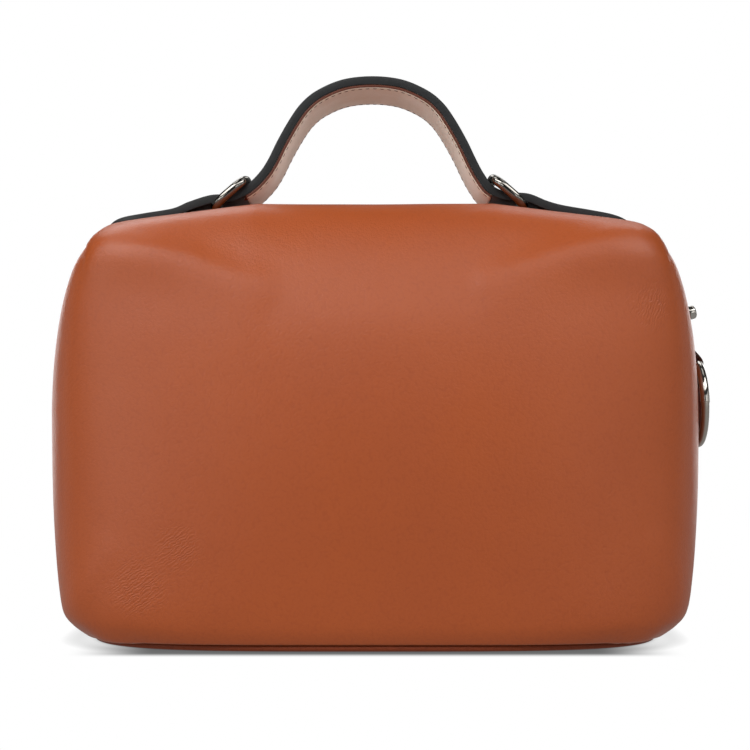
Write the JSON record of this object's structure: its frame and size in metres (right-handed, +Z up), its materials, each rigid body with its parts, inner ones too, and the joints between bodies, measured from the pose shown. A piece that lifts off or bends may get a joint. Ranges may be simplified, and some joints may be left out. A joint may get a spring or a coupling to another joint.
{
  "type": "mini handbag with top handle",
  "caption": "Small soft-cornered zip-top leather handbag with an arched top handle on metal rings and a strap ring on one end.",
  "frame": {"origin": "middle of the flat base's underside, on the surface that the bag stands on", "axes": "+X along the bag towards the end with the ring, +Y towards the front side with the zip, away from the plain rear panel, +Z up"},
  "size_m": [0.2056, 0.1104, 0.1719],
  "materials": {
    "terracotta_calf": "smooth semi-matte calf with a fine grain",
    "black_calf": "smooth calf with painted edges",
    "lining_leather": "matte natural lining leather",
    "nickel": "polished dark nickel",
    "zip": "woven tape with metal teeth"
  },
  "bodies": {
    "bag": {"rear_panel": "terracotta_calf", "front_panel": "terracotta_calf", "base_panel": "terracotta_calf", "zip": "zip", "handle_strap": "black_calf", "handle_lining": "lining_leather", "handle_ring_left": "nickel", "handle_ring_right": "nickel", "end_tab": "terracotta_calf", "end_stud": "nickel"},
    "strap_ring": {"end_ring": "nickel"}
  },
  "joints": [
    {"name": "end_ring_swing", "type": "hinge", "parent": "bag", "child": "strap_ring", "pos_m": [0.10168, -0.002, 0.0833], "axis": [0, -1, 0], "range_deg": [0, 140]}
  ]
}
